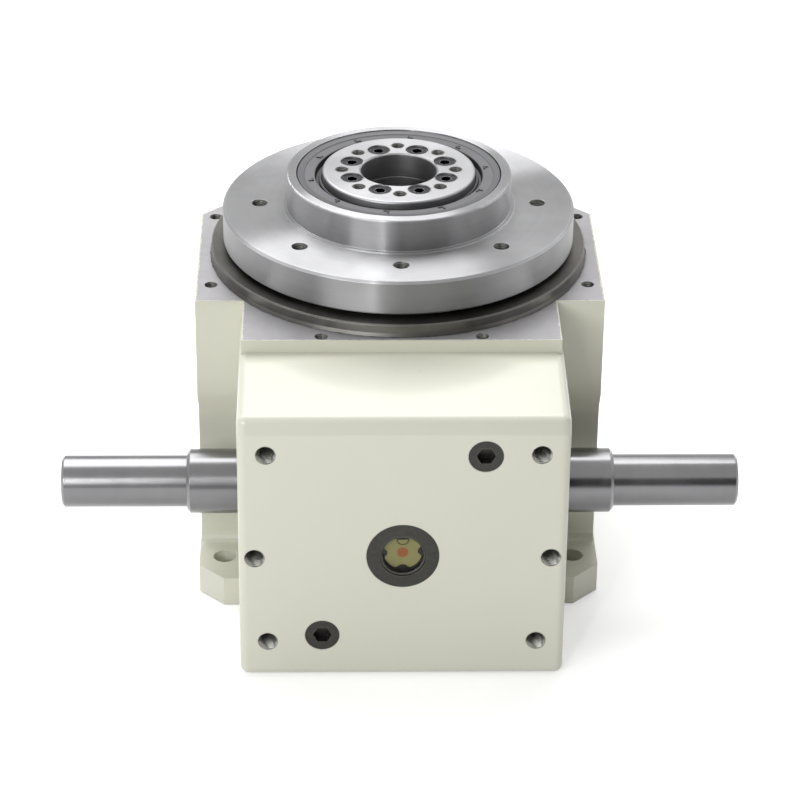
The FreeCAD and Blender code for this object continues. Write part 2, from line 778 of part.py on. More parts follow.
def make_followers():
    on_axis = ("0", "shaft_height", "0")
    body = new_body("cam_follower_studs", turn="follower_turn")
    stud = [
        ("follower_seat - follower_shank_length", "0"),
        ("follower_seat - follower_shank_length", "follower_shank_radius"),
        ("follower_seat", "follower_shank_radius"),
        ("follower_seat", "follower_collar_radius"),
        ("follower_start - free_gap / 2", "follower_collar_radius"),
        ("follower_start - free_gap / 2", "follower_pin_radius"),
        ("follower_end + free_gap / 2", "follower_pin_radius"),
        ("follower_end + free_gap / 2", "follower_head_radius"),
        ("follower_tip", "follower_head_radius"),
        ("follower_tip", "0"),
    ]
    around(body, "Set", [spin(body, "Stud", stud, "H_Axis", shift=on_axis)], "follower_count")
    body = new_body("cam_follower_rollers", turn="follower_turn")
    roller = [
        ("follower_start", "follower_pin_radius + running_gap"),
        ("follower_start", "follower_radius"),
        ("follower_end", "follower_radius"),
        ("follower_end", "follower_pin_radius + running_gap"),
    ]
    around(body, "Set", [spin(body, "Roller", roller, "H_Axis", shift=on_axis)], "follower_count")


def make_main_bearing():
    groove, split = "cross_groove", "bearing_split"
    for label, back, sign in (
        ("main_bearing_outer_ring", "bearing_outer_radius", "1"),
        ("main_bearing_inner_ring", "bearing_bore_radius", "-1"),
    ):
        face = f"cross_pitch_radius + {sign} * {split}"
        section = [
            (back, "bearing_bottom"),
            (back, "housing_height"),
            (face, "housing_height"),
            (face, f"bearing_middle + {groove} - {split}"),
            (f"cross_pitch_radius + {sign} * {groove}", "bearing_middle"),
            (face, f"bearing_middle - {groove} + {split}"),
            (face, "bearing_bottom"),
        ]
        spin(new_body(label), "Ring", section)
    half = "cross_roller_diameter / 2"
    reach = f"({half} - 4 * running_gap)"
    for label, tilt, turn in (
        ("main_bearing_rollers_rising", "45", "0"),
        ("main_bearing_rollers_falling", "-45", "360 / cross_roller_count"),
    ):
        body = new_body(label, turn=turn)
        profile = [(f"-{reach}", "0"), (f"-{reach}", half), (reach, half), (reach, "0")]
        at = ("cross_pitch_radius", "bearing_middle", "0")
        roller = spin(body, "Roller", profile, "H_Axis", shift=at, turn=tilt)
        around(body, "Set", [roller], "cross_roller_count / 2")


def make_retainer():
    body = new_body("retainer_ring")
    section = [
        ("ring_bore_radius", "housing_height"),
        ("ring_radius + ring_flare", "housing_height"),
        ("ring_radius", "housing_height + 3 * ring_flare"),
        ("ring_radius", "ring_top - ring_flare"),
        ("ring_radius - ring_flare", "ring_top"),
        ("ring_bore_radius", "ring_top"),
    ]
    spin(body, "Ring", section)
    bottom = "housing_height - cut_margin"
    mouth = stepped_hole("small", "ring_top + cut_margin", "ring_screw_seat", bottom)
    hole = spin(body, "ScrewHole", mouth, shift=("ring_screw_circle_radius", "0", "0"), cut=True)
    around(body, "ScrewHoles", [hole], "ring_screw_count")
    length = "ring_thickness - ring_counterbore_depth + ring_thread_depth - thread_spare"
    circle, count = "ring_screw_circle_radius", "ring_screw_count"
    screw_set("retainer_screws", "small", "ring_screw_seat", length, circle, count)


def make_seals():
    high = "ring_top - free_gap"
    low = f"{high} - table_seal_thickness"
    lip = "neck_boss_radius + running_gap"
    section = [
        ("ring_bore_radius", low),
        ("ring_bore_radius", high),
        (f"{lip} + table_seal_lip", high),
        (lip, f"{high} - table_seal_lip"),
        (lip, f"{low} + table_seal_lip"),
        (f"{lip} + table_seal_lip", low),
    ]
    spin(new_body("table_seal"), "Ring", section)
    high = "hub_top - seal_recess"
    lip = "flange_radius + running_gap"
    section = [
        ("seal_bore_radius", "seal_bottom"),
        ("seal_bore_radius", high),
        (f"{lip} + seal_lip", high),
        (lip, f"{high} - seal_lip"),
        (lip, f"{high} - 2 * seal_lip"),
        (f"{lip} + seal_groove", f"{high} - seal_groove"),
        ("seal_bore_radius - seal_back", "seal_bottom"),
    ]
    spin(new_body("hub_seal"), "Ring", section)


def cam_section(turn):
    """The rib between two followers, in the plane that stands at turn radians about the cam's axis."""
    tip, root = value("rib_tip_radius"), value("rib_root_radius")
    corners = []
    for reach, side in ((tip, -1), (tip, 1), (root, 1), (root, -1)):
        follower = math.asin((value("follower_radius") + value("rib_clearance")) / reach)
        angle = side * (math.pi / value("follower_count") - follower) - turn / value("follower_count")
        across = value("centre_distance") - reach * math.cos(angle)
        corners.append(
            FreeCAD.Vector(reach * math.sin(angle), across * math.cos(turn), across * math.sin(turn))
        )
    return Part.makePolygon(corners + corners[:1])


def make_cam():
    """Globoidal cam: one rib wound about a waisted core, which moves the turret on by one follower a turn."""
    core, hub = value("cam_half_length"), value("cam_hub_half_length")
    hub_radius, waist = value("cam_hub_radius"), value("cam_core_radius")
    distance = value("centre_distance")
    rim = distance - math.sqrt(waist**2 - core**2)
    hollow = Part.Arc(
        FreeCAD.Vector(-core, rim, 0), FreeCAD.Vector(0, distance - waist, 0), FreeCAD.Vector(core, rim, 0)
    )
    stations = [(core, rim), (core, hub_radius), (hub, hub_radius), (hub, 0)]
    stations += [(-along, radius) for along, radius in stations[::-1]]
    points = [FreeCAD.Vector(along, radius, 0) for along, radius in stations]
    wire = Part.Wire([hollow.toShape()] + Part.makePolygon(points).Edges)
    body = Part.Face(wire).revolve(FreeCAD.Vector(), X_AXIS, 360)
    steps = int(value("rib_steps"))
    turns = [math.pi * value("rib_turns") * (2 * i / steps - 1) for i in range(steps + 1)]
    rib = Part.makeLoft([cam_section(turn) for turn in turns], True, False)
    blank = Part.makeCylinder(value("cam_radius"), 2 * core, FreeCAD.Vector(-core, 0, 0), X_AXIS)
    cam = body.fuse(rib.common(blank))
    bore = Part.makeCylinder(value("shaft_cam_radius"), 4 * hub, FreeCAD.Vector(-2 * hub, 0, 0), X_AXIS)
    width = value("cam_key_width")
    top = value("shaft_cam_radius") + value("cam_key_height") - value("cam_key_depth")
    keyway = Part.makeBox(4 * hub, top, width, FreeCAD.Vector(-2 * hub, -top, -width / 2))
    piece = doc.addObject("Part::Feature", "globoidal_cam")
    piece.Label = "globoidal_cam"
    piece.Shape = cam.cut(bore.fuse(keyway)).removeSplitter()
    bind(piece, ".Placement.Base.y", "-centre_distance")
    bind(piece, ".Placement.Base.z", "shaft_height")
    pieces.append(piece)


def shaft_body(label):
    return new_body(label, y="-centre_distance", z="shaft_height")


def make_shaft():
    body = shaft_body("input_shaft")
    right = [
        ("cam_hub_half_length", "shaft_cam_radius"),
        ("cam_hub_half_length", "shaft_bearing_radius"),
        ("bearing_end", "shaft_bearing_radius"),
        ("bearing_end", "shaft_seal_radius"),
        ("shaft_shoulder - shaft_shoulder_chamfer", "shaft_seal_radius"),
        ("shaft_shoulder", "shaft_seal_radius - shaft_shoulder_chamfer"),
        ("shaft_shoulder", "shaft_end_radius"),
        ("shaft_half_length - shaft_end_chamfer", "shaft_end_radius"),
        ("shaft_half_length", "shaft_end_radius - shaft_end_chamfer"),
        ("shaft_half_length", "0"),
    ]
    left = [(f"-({along})", radius) for along, radius in right[::-1]]
    spin(body, "Turned", left + right, "H_Axis")
    seat = [
        ("-cam_key_half_length", "-cam_key_width / 2"),
        ("cam_key_half_length", "-cam_key_width / 2"),
        ("cam_key_half_length", "cam_key_width / 2"),
        ("-cam_key_half_length", "cam_key_width / 2"),
    ]
    height = "shaft_cam_radius - cam_key_depth"
    sketch = outline(body, "CamKeySeatPlan", seat, "XZ_Plane", ("0", "0", height))
    extrude(body, "CamKeySeat", sketch, "cam_key_depth + cut_margin", cut=True, reverse=True)
    key = shaft_body("cam_key")
    sketch = outline(key, "KeyPlan", seat, "XZ_Plane", ("0", "0", height))
    extrude(key, "Key", sketch, "cam_key_height")
    for side in ("1", "-1"):
        start = f"{side} * (shaft_half_length - end_key_setback)"
        end = f"{side} * (shaft_half_length - end_key_setback - end_key_length)"
        seat = [
            (start, "-end_key_width / 2"),
            (end, "-end_key_width / 2"),
            (end, "end_key_width / 2"),
            (start, "end_key_width / 2"),
        ]
        floor = "(shaft_end_radius - end_key_depth)"
        shift = ("0", f"{floor} * sin(end_key_turn)", f"-{floor} * cos(end_key_turn)")
        sketch = outline(body, "EndKeySeatPlan", seat, "XY_Plane", shift, "end_key_turn", X_AXIS)
        extrude(body, "EndKeySeat", sketch, "end_key_depth + cut_margin", cut=True)


def make_input_bearing(name, side):
    """One end's tapered roller bearing, with its sleeve, snap ring and oil seal."""

    def along(text):
        return f"{side} * ({text})"

    def cup(text):
        return f"(taper_apex + {text}) * tan(cup_angle) + running_gap / cos(cup_angle)"

    def cone(text):
        return f"(taper_apex + {text}) * tan(cone_angle) - running_gap / 2"

    half = "input_bearing_width / 2"
    section = [
        (along("bearing_start"), cup(f"-{half}")),
        (along("bearing_end"), cup(half)),
        (along("bearing_end"), "input_bearing_radius"),
        (along("bearing_start"), "input_bearing_radius"),
    ]
    spin(shaft_body(f"{name}_bearing_cup"), "Ring", section, "H_Axis")
    section = [
        (along("bearing_start"), "shaft_bearing_radius"),
        (along("bearing_end"), "shaft_bearing_radius"),
        (along("bearing_end"), cone(half)),
        (along("bearing_start"), cone(f"-{half}")),
    ]
    spin(shaft_body(f"{name}_bearing_cone"), "Ring", section, "H_Axis")
    body = shaft_body(f"{name}_bearing_rollers")
    reach = "taper_roller_half_length"
    narrow = f"(taper_roller_radius - {reach} * tan(taper_half_angle))"
    wide = f"(taper_roller_radius + {reach} * tan(taper_half_angle))"
    profile = [
        (along(f"-{reach}"), "0"),
        (along(f"-{reach}"), narrow),
        (along(reach), wide),
        (along(reach), "0"),
    ]
    at = (along("bearing_station"), "taper_roller_pitch", "0")
    roller = spin(body, "Roller", profile, "H_Axis", shift=at, turn=along("taper_roller_angle"))
    around(body, "Set", [roller], "taper_roller_count", "X_Axis")
    section = [
        (along("cam_hub_half_length"), "shaft_bearing_radius"),
        (along("bearing_start"), "shaft_bearing_radius"),
        (along("bearing_start"), "sleeve_radius - sleeve_taper"),
        (along("cam_hub_half_length"), "sleeve_radius"),
    ]
    spin(shaft_body(f"{name}_spacer_sleeve"), "Ring", section, "H_Axis")
    body = shaft_body(f"{name}_snap_ring")
    outer = "(input_bearing_radius + snap_ring_depth)"
    section = [
        (along("bearing_end"), f"{outer} - snap_ring_width"),
        (along("bearing_end"), outer),
        (along("snap_ring_end"), outer),
        (along("snap_ring_end"), f"{outer} - snap_ring_width"),
    ]
    spin(body, "Ring", section, "H_Axis")
    low, high = along("bearing_end - cut_margin"), along("snap_ring_end + cut_margin")
    gap = [
        (low, "-snap_ring_opening / 2"),
        (high, "-snap_ring_opening / 2"),
        (high, "snap_ring_opening / 2"),
        (low, "snap_ring_opening / 2"),
    ]
    sketch = outline(body, "OpeningPlan", gap, "XY_Plane", ("0", "0", "0"))
    extrude(body, "Opening", sketch, f"{outer} + cut_margin", cut=True)
    section = [
        (along("shaft_seal_start"), "input_bearing_radius"),
        (along("shaft_seal_end"), "input_bearing_radius"),
        (along("shaft_seal_end"), "shaft_seal_radius + shaft_seal_cup"),
        (along("shaft_seal_end - shaft_seal_lip"), "shaft_seal_radius + running_gap"),
        (along("shaft_seal_start + shaft_seal_lip"), "shaft_seal_radius + running_gap"),
        (along("shaft_seal_start"), "shaft_seal_radius + shaft_seal_cup"),
    ]
    spin(shaft_body(f"{name}_shaft_seal"), "Ring", section, "H_Axis")


def make_plug(label, x, z):
    body = new_body(label)
    mouth = "box_reach - plug_recess"
    sketch = circles(body, "PlugEnd", [(x, z)], "plug_radius", "XZ_Plane", ("0", "0", mouth))
    extrude(body, "Plug", sketch, "plug_length", reverse=True)
    socket = outline(body, "SocketOutline", hexagon("plug_socket"), "XZ_Plane", (x, z, mouth))
    extrude(body, "Socket", socket, "plug_socket_depth", cut=True)


def make_sight_glass():
    def turned(label, section):
        points = [(f"-({depth})", radius) for depth, radius in section]
        spin(new_body(label), "Turned", points, "H_Axis", "YZ_Plane", ("0", "sight_z", "0"))

    rim_back = "box_reach - sight_rim_depth"
    seat = "sight_glass_back - sight_reflector_thickness"
    turned(
        "sight_glass_body",
        [
            ("box_reach", "sight_radius"),
            (f"{rim_back} + sight_gasket_thickness", "sight_radius"),
            (f"{rim_back} + sight_gasket_thickness", "sight_thread_radius"),
            ("box_reach - wall_thickness", "sight_thread_radius"),
            ("box_reach - wall_thickness", "sight_glass_radius - sight_seat_width"),
            (seat, "sight_glass_radius - sight_seat_width"),
            (seat, "sight_glass_radius"),
            ("box_reach", "sight_glass_radius"),
        ],
    )
    for label, start, end, inner, outer in (
        ("sight_glass_window", "sight_glass_front", "sight_glass_back", "0", "sight_glass_radius"),
        ("sight_glass_reflector", "sight_glass_back", seat, "0", "sight_glass_radius"),
        (
            "sight_glass_gasket",
            rim_back,
            f"{rim_back} + sight_gasket_thickness",
            "sight_thread_radius",
            "sight_radius",
        ),
    ):
        turned(label, [(start, inner), (start, outer), (end, outer), (end, inner)])


make_housing()
make_post()
make_flange()
make_table()
make_turret()
make_followers()
make_main_bearing()
make_retainer()
make_seals()
make_cam()
make_shaft()
make_input_bearing("left", "-1")
make_input_bearing("right", "1")
make_plug("fill_plug", "plug_offset", "fill_plug_z")
make_plug("drain_plug", "-plug_offset", "drain_plug_z")
make_sight_glass()
doc.recompute()

for item in doc.Objects:
    if "Invalid" in item.State or "Error" in item.State:
        raise RuntimeError(f"{item.Label} failed: {item.State}")
for piece in pieces:
    if piece.Shape.isNull() or not piece.Shape.isValid() or not piece.Shape.Solids:
        raise RuntimeError(f"{piece.Label} has no valid solid")

os.makedirs("parts", exist_ok=True)
for piece in pieces:
    piece.Shape.exportStep(f"parts/{piece.Label}.step")
print(len(pieces), "pieces written")
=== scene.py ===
import json
import math

import bpy
import numpy as np
from mathutils import Matrix, Vector


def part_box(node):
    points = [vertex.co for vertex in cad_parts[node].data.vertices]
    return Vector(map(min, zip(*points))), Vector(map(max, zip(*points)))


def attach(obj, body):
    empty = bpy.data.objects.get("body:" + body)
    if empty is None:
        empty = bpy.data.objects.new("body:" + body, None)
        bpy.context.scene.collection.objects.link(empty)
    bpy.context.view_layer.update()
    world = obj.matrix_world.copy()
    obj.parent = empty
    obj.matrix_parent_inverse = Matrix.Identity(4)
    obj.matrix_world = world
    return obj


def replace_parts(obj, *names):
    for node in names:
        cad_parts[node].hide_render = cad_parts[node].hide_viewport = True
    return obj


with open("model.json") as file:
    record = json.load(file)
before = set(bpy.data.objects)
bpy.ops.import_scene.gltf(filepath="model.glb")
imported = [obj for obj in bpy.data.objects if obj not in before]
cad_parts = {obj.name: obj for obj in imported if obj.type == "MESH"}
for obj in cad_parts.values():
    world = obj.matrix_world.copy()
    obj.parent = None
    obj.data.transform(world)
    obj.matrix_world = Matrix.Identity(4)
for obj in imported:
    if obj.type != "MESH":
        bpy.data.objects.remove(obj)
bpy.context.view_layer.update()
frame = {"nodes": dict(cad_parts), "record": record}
millimetre = 0.001
record = frame["record"]
slotOf = {part["node"]: part["material_slot"] for part in record["subparts"]}
mountOf = {mount["name"]: mount for mount in record["mounts"]}
print("frame loaded:", len(slotOf), "nodes")


# Places that the looks need, read from the solids

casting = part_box("housing_casting")
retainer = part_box("retainer_ring")
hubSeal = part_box("hub_seal")
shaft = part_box("input_shaft")
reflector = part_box("sight_glass_reflector")
shaftCentre = (shaft[0] + shaft[1]) / 2
sightCentre = (reflector[0] + reflector[1]) / 2


# Shader helpers

def connect(tree, node, links):
    # links holds a value or another node's output for each input, by its name or number
    for key, value in links.items():
        if isinstance(value, bpy.types.NodeSocket):
            tree.links.new(value, node.inputs[key])
        else:
            node.inputs[key].default_value = value


def addNode(tree, kind, links=None, **settings):
    node = tree.nodes.new("ShaderNode" + kind)
    for key, value in settings.items():
        setattr(node, key, value)
    connect(tree, node, links or {})
    return node


def calculate(tree, operation, *values):
    # one sum of a Math node
    return addNode(tree, "Math", dict(enumerate(values)), operation=operation).outputs[0]


def hypotenuse(tree, first, second):
    # the square root of the sum of the two squares
    squares = [calculate(tree, "MULTIPLY", part, part) for part in (first, second)]
    return calculate(tree, "SQRT", calculate(tree, "ADD", *squares))


def rampBetween(tree, value, low, high):
    # 0 below low, 1 above high and a smooth rise between; low may be the larger, which turns it round
    links = {"Value": value, "From Min": low, "From Max": high}
    return addNode(tree, "MapRange", links, interpolation_type="SMOOTHSTEP").outputs["Result"]


def between(tree, share, low, high):
    # low where the share is 0, high where it is 1
    return addNode(tree, "MapRange", {"Value": share, "To Min": low, "To Max": high}).outputs["Result"]


def noise(tree, vector, scale, detail=3.0, roughness=0.5):
    # cloudy noise round 0.5, with "scale" clouds to each unit of the vector
    links = {"Vector": vector, "Scale": scale, "Detail": detail, "Roughness": roughness}
    return addNode(tree, "TexNoise", links).outputs["Fac"]


def mixed(tree, factor, first, second, kind="RGBA"):
    # the two colours (or, with kind VECTOR, the two normals) blended by the factor
    node = addNode(tree, "Mix", data_type=kind)
    low, high, result = {"RGBA": (6, 7, 2), "VECTOR": (4, 5, 1)}[kind]
    connect(tree, node, {0: factor, low: first, high: second})
    return node.outputs[result]


def scaled(tree, colour, factor):
    # each part of the colour times the factor
    return addNode(tree, "VectorMath", {0: colour, "Scale": factor}, operation="SCALE").outputs[0]


def bumped(tree, height, distance, strength, normal=None):
    # the normal that the height gives, over another normal where there is one
    links = {"Height": height, "Distance": distance, "Strength": strength}
    if normal is not None:
        links["Normal"] = normal
    return addNode(tree, "Bump", links).outputs[0]


def newGroup(name, inputs, outputs):
    # inputs and outputs are name: socket type; returns the group with its two end nodes
    group = bpy.data.node_groups.new(name, "ShaderNodeTree")
    for socketName, kind in inputs.items():
        group.interface.new_socket(socketName, in_out="INPUT", socket_type="NodeSocket" + kind)
    for socketName, kind in outputs.items():
        group.interface.new_socket(socketName, in_out="OUTPUT", socket_type="NodeSocket" + kind)
    return group, group.nodes.new("NodeGroupInput"), group.nodes.new("NodeGroupOutput")


def useGroup(tree, group, links):
    return addNode(tree, "Group", links, node_tree=group).outputs


def toolMarkGroup(values):
    # fine marks that a lathe or grinder leaves: noise read along the distance from the axis and the place
    # along it, so that it makes rings on end faces and lines round the sides
    group, given, result = newGroup(
        "toolMarks",
        {"Radius": "Float", "Along": "Float", "Angle": "Float", "Density": "Float", "Depth": "Float"},
        {"Normal": "Vector", "Shade": "Float"},
    )
    density = given.outputs["Density"]
    vector = addNode(group, "CombineXYZ", {
        0: calculate(group, "MULTIPLY", given.outputs["Radius"], density),
        1: calculate(group, "MULTIPLY", given.outputs["Along"], density),
        2: calculate(group, "MULTIPLY", given.outputs["Angle"], values["anglePull"]),
    }).outputs[0]
    fine = noise(group, vector, 1.0, 4.0, 0.7)
    broad = noise(group, vector, values["broadScale"], 2.0)
    fineShade = calculate(group, "MULTIPLY", fine, values["fineShare"])
    broadShade = calculate(group, "MULTIPLY", broad, 1 - values["fineShare"])
    normal = bumped(group, fine, given.outputs["Depth"], values["strength"])
    group.links.new(normal, result.inputs["Normal"])
    group.links.new(calculate(group, "ADD", fineShade, broadShade), result.inputs["Shade"])
    return group


def edgeGroup():
    # 1 on a sharp edge, 0 away from it: how far the normal of a rounded copy leans from the true one
    group, given, result = newGroup("edges", {"Radius": "Float"}, {"Mask": "Float", "Normal": "Vector"})
    rounded = addNode(group, "Bevel", {"Radius": given.outputs["Radius"]}, samples=4).outputs[0]
    true = addNode(group, "NewGeometry").outputs["Normal"]
    lean = addNode(group, "VectorMath", {0: rounded, 1: true}, operation="DOT_PRODUCT").outputs["Value"]
    group.links.new(rampBetween(group, lean, 0.995, 0.85), result.inputs["Mask"])
    group.links.new(rounded, result.inputs["Normal"])
    return group


toolMarks = toolMarkGroup({"anglePull": 0.35, "broadScale": 0.12, "fineShare": 0.35, "strength": 0.6})
edges = edgeGroup()


def newMaterial(name):
    material = bpy.data.materials.new(name)
    material.use_nodes = True
    tree = material.node_tree
    return material, tree, tree.nodes["Principled BSDF"], addNode(tree, "TexCoord").outputs["Object"]


# Materials, one for each slot of the record. Colours are linear red, green, blue, alpha; lengths are metres.

def turnedSteel(name, values):
    # metal turned or ground about an axis through "centre". Its shine is drawn out across the tool marks,
    # which run along the axis crossed with the place. A wall has the colour of an end face times "wall",
    # which is painted shade below 1 and painted light above it; a rim has it times its gain, a painted
    # highlight above 1 and painted shade below it.
    material, tree, shader, place = newMaterial(name)
    axis = values["axis"]
    moved = addNode(tree, "VectorMath", {0: place, 1: values["centre"]}, operation="SUBTRACT").outputs[0]
    split = addNode(tree, "SeparateXYZ", {0: moved}).outputs
    first, second = [split[i] for i in range(3) if i != axis]
    marks = useGroup(tree, toolMarks, {
        "Radius": hypotenuse(tree, first, second),
        "Along": split[axis],
        "Angle": calculate(tree, "ARCTAN2", second, first),
        "Density": values["density"],
        "Depth": values["depth"],
    })
    stains = noise(tree, place, values["stainScale"], 3.0, 0.6)
    low, high = values["stainSpan"]
    stained = calculate(tree, "MULTIPLY", rampBetween(tree, stains, low, high), values["stainShare"])
    marked = calculate(tree, "MULTIPLY", marks["Shade"], 1 - values["stainShare"])
    colour = mixed(tree, calculate(tree, "ADD", stained, marked), values["dark"], values["light"])
    normal = addNode(tree, "SeparateXYZ", {0: addNode(tree, "TexCoord").outputs["Normal"]}).outputs[axis]
    # painted shade and light by facing: the wall factor scales the walls' colour, and the gain the rims'
    endFace = calculate(tree, "ABSOLUTE", normal)
    turned = mixed(tree, endFace, scaled(tree, colour, values["wall"]), colour)
    edge = useGroup(tree, edges, {"Radius": values["rimRadius"]})
    rim = calculate(tree, "MULTIPLY", edge["Mask"], values["rim"])
    polish = addNode(tree, "MapRange", {
        "Value": stains,
        "From Min": low,
        "From Max": high,
        "To Min": values["roughness"] + values["polish"][0],
        "To Max": values["roughness"] + values["polish"][1],
    }).outputs["Result"]
    forward = tuple(float(i == axis) for i in range(3))
    around = addNode(tree, "VectorMath", {0: forward, 1: moved}, operation="CROSS_PRODUCT").outputs[0]
    tangent = addNode(
        tree, "VectorTransform", {0: around}, vector_type="VECTOR", convert_from="OBJECT", convert_to="WORLD"
    ).outputs[0]
    connect(tree, shader, {
        "Base Color": mixed(tree, rim, turned, scaled(tree, colour, values["paintedRimGain"])),
        "Metallic": 1.0,
        "Roughness": polish,
        "Anisotropic": values["anisotropy"],
        "Anisotropic Rotation": 0.25,
        "Tangent": tangent,
        "Normal": mixed(tree, edge["Mask"], marks["Normal"], edge["Normal"], "VECTOR"),
    })
    return material


def plainSteel(name, values):
    # metal with no turned face of its own: a little grain, and edges lightened both for real wear and as a
    # painted highlight
    material, tree, shader, place = newMaterial(name)
    grain = noise(tree, place, values["grainScale"], 4.0, 0.6)
    edge = useGroup(tree, edges, {"Radius": values["edgeRadius"]})
    # edges lightened towards the edge colour: partly real wear, partly a painted highlight
    wornAndHighlit = calculate(tree, "MULTIPLY", edge["Mask"], values["wearAndHighlight"])
    connect(tree, shader, {
        "Base Color": mixed(tree, wornAndHighlit, mixed(tree, grain, values["dark"], values["light"]), values["edge"]),
        "Metallic": values["metallic"],
        "Roughness": values["roughness"],
        "Normal": bumped(tree, grain, values["depth"], 0.5),
    })
    return material


def machinedFaces(tree, place, values):
    # 1 where the casting is machined bare: on its base, within "chamber" of the table's axis, and on its top
    # up to a ragged line just inside the edge. The top is a square with its rear corners cut off, and a pad
    # before it; how far a place lies outside each is the largest of its distances beyond the sides.
    x, y, z = addNode(tree, "SeparateXYZ", {0: place}).outputs
    normal = addNode(tree, "SeparateXYZ", {0: addNode(tree, "NewGeometry").outputs["True Normal"]}).outputs[2]

    def largest(first, *others):
        for other in others:
            first = calculate(tree, "MAXIMUM", first, other)
        return first

    def beyond(value, limit):
        return calculate(tree, "SUBTRACT", value, limit)

    width = calculate(tree, "ABSOLUTE", x)
    depth = calculate(tree, "MULTIPLY", y, -1.0)
    diagonal = calculate(tree, "MULTIPLY", calculate(tree, "ADD", width, y), math.sqrt(0.5))
    reach = values["halfWidth"]
    block = largest(
        beyond(width, reach), beyond(y, reach), beyond(diagonal, reach), beyond(depth, values["shoulder"])
    )
    pad = largest(beyond(width, values["padHalfWidth"]), beyond(depth, values["padReach"]), y)
    ragged = noise(tree, place, values["raggedScale"], 4.0, 0.7)
    line = calculate(tree, "MULTIPLY", calculate(tree, "SUBTRACT", ragged, 0.25), values["raggedness"])
    outside = calculate(tree, "ADD", calculate(tree, "MINIMUM", block, pad), line)
    slack = values["slack"]
    upward = calculate(tree, "GREATER_THAN", normal, values["level"])
    high = calculate(tree, "GREATER_THAN", z, values["top"] - slack)
    inside = rampBetween(tree, outside, -slack, -2.5 * slack)
    topFace = calculate(tree, "MULTIPLY", inside, calculate(tree, "MULTIPLY", upward, high))
    downward = calculate(tree, "LESS_THAN", normal, -values["level"])
    baseFace = calculate(tree, "MULTIPLY", downward, calculate(tree, "LESS_THAN", z, slack))
    chamber = calculate(tree, "LESS_THAN", hypotenuse(tree, x, y), values["chamber"])
    return largest(topFace, baseFace, chamber)


def enamelledCasting(name, values):
    # gloss enamel with orange peel, specks and chipped edges, over a casting that is machined bare in places
    material, tree, shader, place = newMaterial(name)
    bare = machinedFaces(tree, place, values)
    links = {"Vector": place, "Scale": values["speckScale"]}
    cells = addNode(tree, "TexVoronoi", links, feature="F1").outputs["Distance"]
    chance = rampBetween(tree, noise(tree, place, values["chanceScale"], 1.0), *values["speckChance"])
    speck = calculate(tree, "MULTIPLY", rampBetween(tree, cells, *values["speckSize"]), chance)
    edge = useGroup(tree, edges, {"Radius": values["edgeRadius"]})
    chips = rampBetween(tree, noise(tree, place, values["chipScale"], 3.0, 0.6), *values["chipChance"])
    chipped = calculate(tree, "MULTIPLY", edge["Mask"], chips)

    cloud = noise(tree, place, values["cloudScale"], 2.0)
    paint = mixed(tree, cloud, values["paintDark"], values["paintLight"])
    paint = mixed(tree, calculate(tree, "MULTIPLY", speck, values["paintSpecks"]), paint, values["speck"])
    paint = mixed(tree, chipped, paint, values["speck"])
    grain = noise(tree, place, values["metalScale"], 4.0, 0.7)
    metal = mixed(tree, grain, values["metalDark"], values["metalLight"])
    metal = mixed(tree, calculate(tree, "MULTIPLY", speck, values["metalSpecks"]), metal, values["speck"])

    peel = calculate(tree, "MULTIPLY", noise(tree, place, values["peelScale"], 2.0), values["peelShare"])
    height = calculate(tree, "ADD", peel, noise(tree, place, values["lumpScale"], 2.0))
    painted = bumped(tree, height, values["peelDepth"], 0.5, edge["Normal"])
    milled = bumped(tree, noise(tree, place, values["millScale"]), values["millDepth"], 0.4)
    connect(tree, shader, {
        "Base Color": mixed(tree, bare, paint, metal),
        "Metallic": calculate(tree, "MULTIPLY", bare, values["metallic"]),
        "Roughness": between(tree, bare, values["paintRoughness"], values["metalRoughness"]),
        "Coat Weight": between(tree, bare, values["coat"], 0.0),
        "Coat Roughness": values["coatRoughness"],
        "Normal": mixed(tree, bare, painted, milled, "VECTOR"),
    })
    return material


def mouldedRubber(name, values):
    # rubber in a cloudy dark colour with a fine grain
    material, tree, shader, place = newMaterial(name)
    cloud = noise(tree, place, values["cloudScale"], 3.0)
    connect(tree, shader, {
        "Base Color": mixed(tree, cloud, values["dark"], values["light"]),
        "Roughness": values["roughness"],
        "Normal": bumped(tree, noise(tree, place, values["grainScale"], 3.0), values["depth"], 0.4),
    })
    return material


def sealRubber(name, values):
    # painted shade, black, inside the groove's radius; cloudy grey from there to the slope's radius, and dark
    # beyond it
    material, tree, shader, place = newMaterial(name)
    flat = addNode(tree, "VectorMath", {0: place, 1: (1, 1, 0)}, operation="MULTIPLY").outputs[0]
    radius = addNode(tree, "VectorMath", {0: flat}, operation="LENGTH").outputs["Value"]
    cloud = noise(tree, place, values["cloudScale"], 4.0, 0.6)
    colour = mixed(tree, cloud, values["dark"], values["light"])
    slope = rampBetween(tree, radius, values["slope"], values["slope"] + 0.4 * millimetre)
    colour = mixed(tree, slope, colour, values["dark"])
    # painted shade in the groove and on its lip
    groove = rampBetween(tree, radius, values["groove"], values["groove"] + 0.5 * millimetre)
    connect(tree, shader, {
        "Base Color": mixed(tree, groove, values["black"], colour),
        "Roughness": values["roughness"],
        "Normal": bumped(tree, noise(tree, place, values["grainScale"]), values["depth"], 0.3),
    })
    return material


def clearGlass(name, values):
    # tinted clear glass with a slight haze that comes and goes
    material, tree, shader, place = newMaterial(name)
    connect(tree, shader, {
        "Base Color": values["tint"],
        "Roughness": between(tree, noise(tree, place, values["hazeScale"], 2.0), 0.0, values["haze"]),
        "Transmission Weight": 1.0,
        "IOR": values["ior"],
    })
    return material


def satinEnamel(name, values):
    # enamel with little shine, in a cloudy colour
    material, tree, shader, place = newMaterial(name)
    cloud = noise(tree, place, values["scale"], 2.0)
    connect(tree, shader, {
        "Base Color": mixed(tree, cloud, values["dark"], values["light"]),
        "Roughness": values["roughness"],
        "Specular IOR Level": 0.2,
    })
    return material
